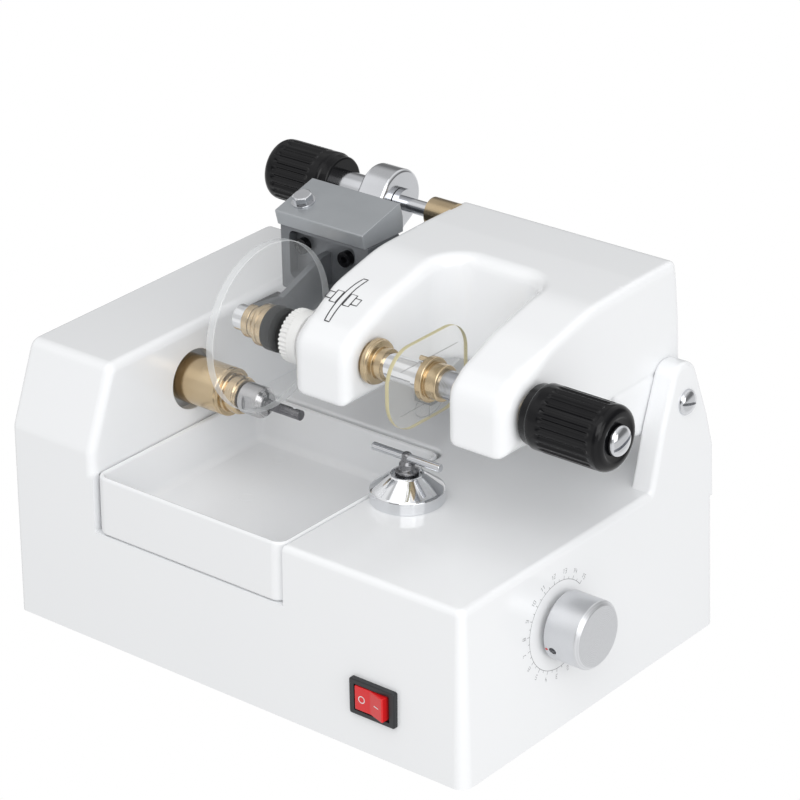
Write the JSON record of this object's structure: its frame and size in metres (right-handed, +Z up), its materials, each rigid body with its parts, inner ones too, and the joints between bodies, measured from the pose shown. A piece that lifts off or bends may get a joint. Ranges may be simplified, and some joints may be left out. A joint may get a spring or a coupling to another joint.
{
  "type": "optical lens edger",
  "caption": "Bench lens edger: a base with a motor-driven cutter, chip drawer and size dial, and a tilting head that turns a lens and its pattern together.",
  "frame": {"origin": "centre of the whole machine's bounding box, on the table surface that the feet stand on", "axes": "+X to the operator's right along the lens spindle, +Y to the rear, +Z up"},
  "size_m": [0.2746, 0.1795, 0.177],
  "materials": {
    "white_enamel": "gloss",
    "tray_white": "gloss",
    "black_plastic": "satin",
    "chrome": "polished",
    "steel": "machined",
    "brass": "turned",
    "aluminium": "satin",
    "grey_paint": "satin",
    "dark_paint": "satin",
    "rubber": "matte",
    "red_plastic": "gloss",
    "clear_lens": "polished",
    "clear_pattern": "polished",
    "white_nylon": "matte",
    "zinc_plate": "satin",
    "motor_black": "satin"
  },
  "bodies": {
    "base": {"base_shell": "white_enamel", "bottom_plate": "zinc_plate", "feet": "rubber", "plate_screws": "steel", "hinge_post": "zinc_plate", "hinge_pins": "steel", "hinge_screw": "chrome", "motor": "motor_black", "motor_cradle": "zinc_plate", "drive_belt": "rubber", "spindle_housing": "brass", "spindle_bearings": "steel", "rest_cap": "chrome", "rest_guide": "brass", "dial_bush": "brass", "switch_body": "black_plastic", "power_inlet": "black_plastic", "stop_switch": "black_plastic"},
    "motor_rotor": {"motor_rotor": "steel", "motor_pulley": "aluminium"},
    "cutter": {"cutter_shaft": "steel", "cutter_pulley": "aluminium", "collet_nut": "steel", "cutter_bit": "steel"},
    "rest": {"rest_post": "steel", "rest_bar": "steel"},
    "dial": {"dial_shaft": "steel", "size_cam": "steel", "size_dial": "aluminium", "dial_set_screw": "black_plastic"},
    "rocker": {"rocker": "red_plastic"},
    "tray": {"tray": "tray_white"},
    "head": {"head_shell": "white_enamel", "arm_bushes": "brass", "clamp_bush": "brass", "clamp_guide": "steel"},
    "lens_spindle": {"lens_shaft": "steel", "drive_disc": "white_nylon", "drive_pad": "rubber", "lens_blank": "clear_lens", "pattern_flange": "brass", "pattern_plate": "clear_pattern", "pattern_collar": "brass", "pattern_shaft": "steel", "hand_knob": "black_plastic", "knob_cap": "chrome"},
    "plunger": {"pattern_plunger": "chrome"},
    "lens_clamp": {"clamp_slab": "chrome", "clamp_block": "grey_paint", "block_bolt": "chrome", "clamp_bracket": "dark_paint", "bracket_screws": "black_plastic"},
    "clamp_knob": {"clamp_screw": "steel", "clamp_stem": "chrome", "clamp_knob": "black_plastic"},
    "chuck": {"chuck_shaft": "chrome", "chuck_collar": "brass", "chuck_pad": "rubber"}
  },
  "joints": [
    {"name": "head_tilt", "type": "hinge", "parent": "base", "child": "head", "pos_m": [0, 0.065, 0.111], "axis": [-1, 0, 0], "range_deg": [0, 55]},
    {"name": "lens_spin", "type": "hinge", "parent": "head", "child": "lens_spindle", "pos_m": [0, -0.0255, 0.138], "axis": [1, 0, 0], "continuous": true},
    {"name": "plunger_slide", "type": "slide", "parent": "lens_spindle", "child": "plunger", "axis": [-1, 0, 0], "range_m": [0, 0.007]},
    {"name": "clamp_slide", "type": "slide", "parent": "head", "child": "lens_clamp", "axis": [-1, 0, 0], "range_m": [0, 0.01]},
    {"name": "clamp_turn", "type": "hinge", "parent": "lens_clamp", "child": "clamp_knob", "pos_m": [0, 0.064, 0.163], "axis": [-1, 0, 0], "range_deg": [0, 720]},
    {"name": "chuck_spin", "type": "hinge", "parent": "lens_clamp", "child": "chuck", "pos_m": [0, -0.0255, 0.138], "axis": [1, 0, 0], "continuous": true},
    {"name": "motor_spin", "type": "hinge", "parent": "base", "child": "motor_rotor", "pos_m": [0, 0.052, 0.038], "axis": [1, 0, 0], "continuous": true},
    {"name": "cutter_spin", "type": "hinge", "parent": "base", "child": "cutter", "pos_m": [0, -0.0205, 0.0985], "axis": [1, 0, 0], "continuous": true},
    {"name": "dial_turn", "type": "hinge", "parent": "base", "child": "dial", "pos_m": [0, -0.023, 0.048], "axis": [1, 0, 0], "range_deg": [-150, 150]},
    {"name": "rest_lift", "type": "slide", "parent": "base", "child": "rest", "axis": [0, 0, 1], "range_m": [-0.003, 0.003]},
    {"name": "rocker_tilt", "type": "hinge", "parent": "base", "child": "rocker", "pos_m": [0.06075, -0.08525, 0.0255], "axis": [0, 0, 1], "range_deg": [0, 16]},
    {"name": "tray_slide", "type": "slide", "parent": "base", "child": "tray", "axis": [0, -1, 0], "range_m": [0, 0.09]}
  ],
  "couplings": [
    {"joint": "chuck_spin", "follows": "lens_spin", "ratio": 1},
    {"joint": "cutter_spin", "follows": "motor_spin", "ratio": 1.4},
    {"joint": "clamp_turn", "follows": "clamp_slide", "rad_per_m": 1256.5},
    {"joint": "rest_lift", "follows": "dial_turn", "m_per_rad": 0.0011459}
  ]
}
